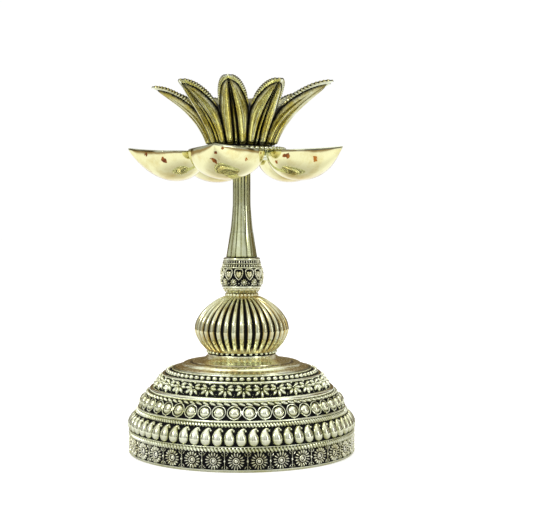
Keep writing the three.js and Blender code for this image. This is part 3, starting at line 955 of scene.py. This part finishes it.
def make_hub():
    """The disc with its boss below, beaded edge and arms."""
    disc_top = levels_mm("tray_hub")[1]
    outline = [
        (ROD_BORE, 136.2), (4.6, 136.2), (6.0, 136.8), (8.6, 139.2), (9.4, 141.0), (11.0, 142.5),
        (12.5, DISC_LOW), (19.6, DISC_LOW), (DISC_RADIUS, DISC_LOW + 0.5),
        (DISC_RADIUS, disc_top - 0.4), (19.6, disc_top - 0.1), (18.6, disc_top - 0.1),
        (18.2, disc_top - 0.4), (11.5, disc_top - 0.4), (11.0, disc_top), (ROD_BORE, disc_top),
    ]
    tones = [0.3, 0.8, 0.9, 1, 0.9, 0.6, 0.3, 0.7, 0.1, 0.1, 0.8, 0.9, 0.2, 0.5, 0.9, 0.7]
    shape = Shape()
    turned(shape, outline, 144, tones)
    edge = Wall([(DISC_RADIUS, DISC_LOW - 1), (DISC_RADIUS, disc_top + 1)])
    set_round(shape, edge, [button(1.2, 1.45, 12, 5)], 52, (DISC_LOW + disc_top) / 2, 0.1, 11)
    for k in range(CUP_COUNT):
        add_arm(shape, FIRST_CUP + k * TURN / CUP_COUNT)
    shape.piece("hub_and_arms", ["tray_hub"], [ANTIQUE], "cup_tray")


def rounded_square(wave):
    """A sine or cosine made squarer, for the section of an arm."""
    return np.sign(wave) * np.abs(wave) ** 0.6


def add_arm(shape, azimuth):
    """A short waisted arm from the hub's boss to the back of a cup, just under the disc."""
    start, end = 7.5, CUP_CENTRE - CUP_BACK_REACH - 0.1
    rows, columns = 9, 16
    half_width, half_height = 3.0, 1.8
    section = np.arange(columns) * TURN / columns
    rings = []
    for t in np.linspace(0, 1, rows):
        waist = 1 - 0.16 * math.sin(math.pi * t)
        across = half_width * waist * rounded_square(np.cos(section))
        up = DISC_LOW - half_height + half_height * waist * rounded_square(np.sin(section))
        along = start + (end - start) * t
        rings.append(np.stack([across, np.full(columns, -along), up], 1))
    corners = np.vstack([*rings, rings[0].mean(0), rings[-1].mean(0)])
    shape.add(*turned_by((corners, tube_faces(rows, columns), 0.85), azimuth))


# ---- Lotus crown ----

FIRST_PETAL = math.radians(-9)
PETAL_ROWS, PETAL_COLUMNS = 150, 51
# How each petal's tip is off the spine: degrees of lean, and millimetres out and up.
PETAL_TIPS = [
    (1.0, 0.0, 0.0), (-4.0, 0.0, -1.2), (6.0, 1.8, 0.3), (2.0, 0.0, 1.6), (-3.0, 0.0, -1.0),
    (4.0, -0.3, -3.2), (-2.0, -0.2, -3.2), (3.0, -0.8, -1.6), (0.0, -1.0, -2.0), (5.0, -0.5, -1.0),
]
PETAL_SPINE = smooth_curve(
    [(14.65, 146.3), (17.6, 152.4), (22.4, 159.0), (29.0, 165.3), (36.8, 171.0), (44.0, 174.8)], 200
)
# Half of a petal's width against the share of the way up it.
PETAL_OUTLINE = smooth_curve(
    [
        (0, 4.75), (0.15, 5.6), (0.3, 6.4), (0.45, 6.9), (0.6, 6.8), (0.72, 6.1), (0.83, 4.9),
        (0.92, 3.3), (0.97, 1.9), (1, 0.15),
    ],
    300,
)
MILLED_NOTCHES = 28  # up each edge of a petal
PETAL_THICKNESS = 1.5  # at the foot
PETAL_CURL = 3.0  # how far the edges would curl back at the half width below
PETAL_CURL_WIDTH = 7.4


def petal_relief(share, side):
    """How far the outer face stands up, and its tone: midrib, two lobes and a border. The border's
    high tone is a painted highlight.
    """
    width = np.abs(side)
    closing = unit(1 - (share / 0.925) ** 7) ** 0.5
    midrib_half = 0.035 + 0.1 * (1 - share) ** 2
    lobe_in = midrib_half + (0.05 + 0.1 * (1 - share)) * np.clip((0.97 - share) * 6, 0.1, 1)
    widest = np.interp(share, [0.0, 0.4, 0.66], [0.93, 0.94, 0.76])
    lobe_out = lobe_in + (widest - lobe_in) * closing
    middle = (lobe_in + lobe_out) / 2
    half = np.maximum((lobe_out - lobe_in) / 2, 0.01)
    lobe = np.sqrt(unit(1 - ((width - middle) / half) ** 2)) * closing
    midrib = np.sqrt(unit(1 - (width / midrib_half) ** 2))
    midrib = midrib * unit((0.95 - share) * 12)
    border = unit((width - lobe_out - 0.03) / 0.06)
    border = np.where(share > 0.92, np.clip((share - 0.92) / 0.03, border, 1), border)
    # Low down, below about 0.42 of the way up, the border fades out and its place stays dark: partly
    # patina, partly painted shade between the petals.
    border = border * unit((share - 0.42) / 0.14)
    height = 1.9 * lobe + 1.2 * midrib + 0.5 * border
    # The border's full tone turns it near-white, a painted highlight; the lobes and midrib stay a
    # deeper olive.
    tone = unit(0.7 * lobe + 0.62 * midrib + 1.0 * border)
    foot = np.clip(share / 0.03, 0.5, 1)
    return height * foot, tone * foot


def make_petal(index, azimuth, sway, reach, rise):
    """A petal on its own spine: lobes and a milled border outside, faint veins inside, the inner face
    kept dark as painted shade.
    """
    share = 1 - (1 - np.linspace(0, 1, PETAL_ROWS)) ** 1.25
    share = np.minimum(share, 0.9985)[:, None]
    side = np.sin(np.linspace(-1, 1, PETAL_COLUMNS) * 1.25) / math.sin(1.25)
    steps = np.linspace(0, 1, len(PETAL_SPINE))
    slope = np.gradient(PETAL_SPINE, axis=0)
    slope /= np.linalg.norm(slope, axis=1)[:, None]
    spine = np.hstack([PETAL_SPINE, slope]).T
    radius, height, slope_r, slope_z = (np.interp(share, steps, values) for values in spine)
    radius = radius + reach * share**2
    height = height + rise * share**2
    turn = azimuth + math.radians(sway) * share**2
    half = np.interp(share, *PETAL_OUTLINE.T)
    curl = PETAL_CURL * np.minimum(1, share / 0.6) * half / PETAL_CURL_WIDTH
    thick = PETAL_THICKNESS * (1 - 0.45 * share)
    relief, tone = petal_relief(share, side)
    milling = 0.5 + 0.5 * np.cos(share * MILLED_NOTCHES * TURN) + 0 * side
    rim = unit((np.abs(side) - 0.86) / 0.08) * unit((share - 0.45) * 6)
    notch = rim * (1 - milling)

    def place(lift, narrow=1.0):
        out = lift - curl * side**2
        across = half * side * narrow * (1 - 0.035 * notch)
        r = radius + slope_z * out
        x = r * np.sin(turn) + across * np.cos(turn)
        y = -r * np.cos(turn) + across * np.sin(turn)
        return np.stack([x, y, height - slope_r * out + 0 * across], -1)

    outer = place(thick / 2 - 0.9 + relief + rim * 0.35 * milling)
    vein = np.exp(-((np.abs(side) - 0.4) / 0.1) ** 2) + np.exp(-((side / 0.07) ** 2))
    vein = vein * unit((0.92 - share) * 6)
    inner = place(-thick / 2 - rim * 0.3 * milling + 0.25 * vein, 0.985)
    # The inner face's low tone is painted shade inside the crown; its veins and milled notches are
    # darker still.
    inner_tone = np.clip((share - 0.6) / 1.1, 0.3, 0.36) * (1 - 0.8 * vein) * (1 - notch)
    corners = np.concatenate([outer, inner[:, ::-1]], 1)
    tones = np.concatenate([tone * (1 - notch), inner_tone[:, ::-1]], 1)
    ends = [corners[0].mean(0), corners[-1].mean(0)]
    corners = np.vstack([corners.reshape(-1, 3), ends])
    tones = np.concatenate([tones.ravel(), [0, 0.9]])
    shape = Shape()
    shape.add(corners, tube_faces(PETAL_ROWS, 2 * PETAL_COLUMNS), tones)
    name, node = f"lotus_petal_{index:02d}", f"petal_{index:02d}"
    shape.piece(name, [node], [OLIVE], "lotus_crown", "olive_brass", crease=55)


def make_crown():
    """The petals, and the socket with its bud in their middle."""
    for k, tip in enumerate(PETAL_TIPS):
        make_petal(k + 1, FIRST_PETAL + k * TURN / len(PETAL_TIPS), *tip)
    floor = levels_mm("crown_socket")[0]
    outline = [
        (ROD_BORE, 0), (12.2, 0), (13.4, 1.2), (13.2, 2.3), (9.0, 2.7), (8.2, 3.4), (7.2, 6.6),
        (6.9, 8.2), (5.8, 9.6), (3.6, 10.5), (0.05, 10.9), (0.05, 7.4), (ROD_BORE, 7.4),
    ]
    outline = [(radius, floor + height) for radius, height in outline]
    shape = Shape()
    turned(shape, outline, 72, [0.2, 0.2, 0.4, 0.5, 0.15, 0.4, 0.9, 1, 1, 1, 1, 0, 0])
    bud = Wall([(7.6, floor + 3.4), (7.1, floor + 6.6), (6.9, floor + 8.4)])
    bud_leaf = leaf((0, -1.6), (0, 1.9), 1.25, 0.8, fullest=0.6)
    set_round(shape, bud, [bud_leaf], 14, floor + 5.6, -0.1, 12)
    shape.piece("lotus_socket", ["crown_socket"], [OLIVE], "lotus_crown", "olive_brass")


# ---- Making everything ----

make_base_shell()
make_base_bands()
make_bulb()
make_bulb_seat()
make_knop()
make_stem()
make_rod()
make_hub()
for index, side in enumerate(CUP_STAINS):
    make_cup(side, FIRST_CUP + index * TURN / CUP_COUNT)
make_crown()

for node in ("base_washer", "base_nut", "crown_washer"):
    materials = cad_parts[node].data.materials
    materials.clear()
    materials.append(STEEL)

# ---- Studio ----


def stage_piece(name, corners, faces, material, unseen_by):
    """A mesh of the studio that some kinds of ray pass by."""
    mesh = bpy.data.meshes.new(name)
    mesh.from_pydata(corners, [], faces)
    mesh.materials.append(material)
    piece = new_object(name, mesh)
    for ray in unseen_by:
        setattr(piece, f"visible_{ray}", False)


def floor_paper():
    n = Nodes("studio_floor")
    cloud = n.span(n.noise(6, 4), 0.3, 0.7)
    return n.finish(
        Base_Color=n.mix(cloud, colour(250, 250, 250), colour(246, 246, 246)),
        Roughness=n.span(n.noise(90, 3), 0.3, 0.7, 0.75, 0.9),
        Emission_Color=(1, 1, 1, 1),
        Emission_Strength=0.4,
    )


def floor_in_polish():
    """What polished metal shows of the floor: shaded under the lamp, white round it, dim far off."""
    n = Nodes("floor_in_polish")
    place = n.add("ShaderNodeTexCoord").outputs["Object"]
    reach = n.add("ShaderNodeVectorMath", {0: place}, operation="LENGTH").outputs["Value"]
    # How far out as a share of two metres, how bright it is there, and how blue.
    rings = [(0.0, 0.5, 1.0), (0.04, 0.7, 0.95), (0.1, 1.1, 1.0), (0.4, 1.1, 1.0), (0.7, 0.3, 0.3)]
    stops = []
    for share, level, blue in rings + [(1.0, 0.28, 0.25)]:
        stops.append((share, (level, level * (0.5 + 0.5 * blue), level * blue)))
    glow = n.ramp(n.span(reach, 0.0, 2.0), stops)
    return n.finish(Base_Color=(0, 0, 0, 1), Emission_Color=glow, Emission_Strength=1.0)


def backdrop_white():
    n = Nodes("backdrop_white")
    white = (1, 1, 1, 1)
    return n.finish(Base_Color=(0, 0, 0, 1), Emission_Color=white, Emission_Strength=1.0)


def make_stage():
    """A pale floor with a white backdrop. Polished metal shows a floor of its own, just under it."""
    reach, wall_height, sides = 4.0, 3.0, 64
    turns = [k * TURN / sides for k in range(sides)]

    def ring_at(height):
        return [(reach * math.sin(turn), reach * math.cos(turn), height) for turn in turns]

    disc = [tuple(range(sides))[::-1]]
    wall = [(k, (k + 1) % sides, sides + (k + 1) % sides, sides + k) for k in range(sides)]
    corners = ring_at(-0.01) + ring_at(wall_height)
    not_seen, not_reflected = ["camera", "diffuse", "shadow"], ["glossy", "diffuse", "shadow"]
    stage_piece("floor", ring_at(-0.00005), disc, floor_paper(), ["glossy"])
    stage_piece("floor_in_polish", ring_at(-0.0001), disc, floor_in_polish(), not_seen)
    stage_piece("backdrop", corners, wall, backdrop_white(), not_reflected)


# The brightness of the tent round the lamp, by degrees from the front, positive to the right.
TENT_PANELS = [
    (-180, 0.24), (-153, 0.24), (-149, 0.9), (-145, 0.9), (-141, 0.16), (-128, 0.16), (-120, 0.9),
    (-98, 0.9), (-92, 0.15), (-80, 0.15), (-72, 1.0), (-22, 1.1), (-17, 0.5), (-8, 0.5), (-3, 0.9),
    (20, 0.9), (25, 0.3), (36, 0.3), (42, 1.05), (66, 1.05), (72, 0.15), (86, 0.15), (92, 0.8),
    (101, 0.8), (107, 0.24), (134, 0.2), (140, 0.85), (148, 0.85), (153, 0.24), (180, 0.24),
]
DIM_PANEL = 0.27  # panels below this are tinted orange
ORANGE = (1.0, 0.7, 0.32)


def make_world():
    """A white studio tent with dim gaps between its panels, for polished metal to show."""
    n = Nodes("studio", bpy.data.worlds, "Background")
    view = n.add("ShaderNodeTexCoord").outputs["Generated"]
    across, away, up = n.add("ShaderNodeSeparateXYZ", {0: view}).outputs
    azimuth = n.sum(across, n.sum(away, -1, "MULTIPLY"), "ARCTAN2")
    stops = []
    for angle, level in TENT_PANELS:
        tint = ORANGE if level < DIM_PANEL else (1.0, 1.0, 1.0)
        stops.append(((angle + 180) / 360, [level * share for share in tint]))
    panels = n.ramp(n.span(azimuth, -math.pi, math.pi), stops)
    tent = n.mix(n.span(up, 0.55, 0.8), panels, (1.0, 1.0, 1.0, 1.0))
    rise = n.ramp(up, [(0.0, [0.55] * 3), (1.0, [1.25] * 3)])
    light = n.mix(1.0, tent, rise, "MULTIPLY")
    bpy.context.scene.world = n.finish(Color=light, Strength=1.0)


def area_light(name, place, target, size, power, tint=(1, 1, 1)):
    light = bpy.data.lights.new(name, "AREA")
    light.shape = "RECTANGLE"
    light.size, light.size_y = size
    light.energy = power
    light.color = tint
    lamp = new_object(name, light)
    lamp.location = place
    away = np.array(place) - np.array(target)
    azimuth = math.atan2(away[0], -away[1])
    tilt = math.atan2(math.hypot(away[0], away[1]), away[2])
    lamp.rotation_euler = (tilt, 0, azimuth)


def make_lights():
    middle = (0, 0, 0.09)  # of the lamp, where they all point
    area_light("key", (-0.85, -0.75, 0.95), middle, (0.45, 0.35), 4.0, (1.0, 0.99, 0.95))
    area_light("fill", (0.95, -0.7, 0.45), middle, (0.2, 0.7), 1.4)
    area_light("top", (0.0, 0.15, 1.3), middle, (0.8, 0.8), 3.9)


CAMERA_DISTANCE = 0.597
CAMERA_HEIGHT = 0.1159
CAMERA_LENS = 84.2
CAMERA_PITCH = 2.35  # degrees down
CAMERA_YAW = 1.14  # degrees to the right of the lamp's axis


def make_camera():
    camera = bpy.data.cameras.new("camera")
    camera.lens = CAMERA_LENS
    camera.sensor_width = 36.0
    camera.clip_start = 0.01
    camera.clip_end = 20
    stand = new_object("camera", camera)
    stand.location = (0, -CAMERA_DISTANCE, CAMERA_HEIGHT)
    stand.rotation_euler = (math.radians(90 - CAMERA_PITCH), 0, math.radians(-CAMERA_YAW))
    bpy.context.scene.camera = stand


make_stage()
make_world()
make_lights()
make_camera()

scene = bpy.context.scene
scene.view_settings.view_transform = "Standard"
scene.view_settings.look = "None"
scene.view_settings.exposure = 0.0
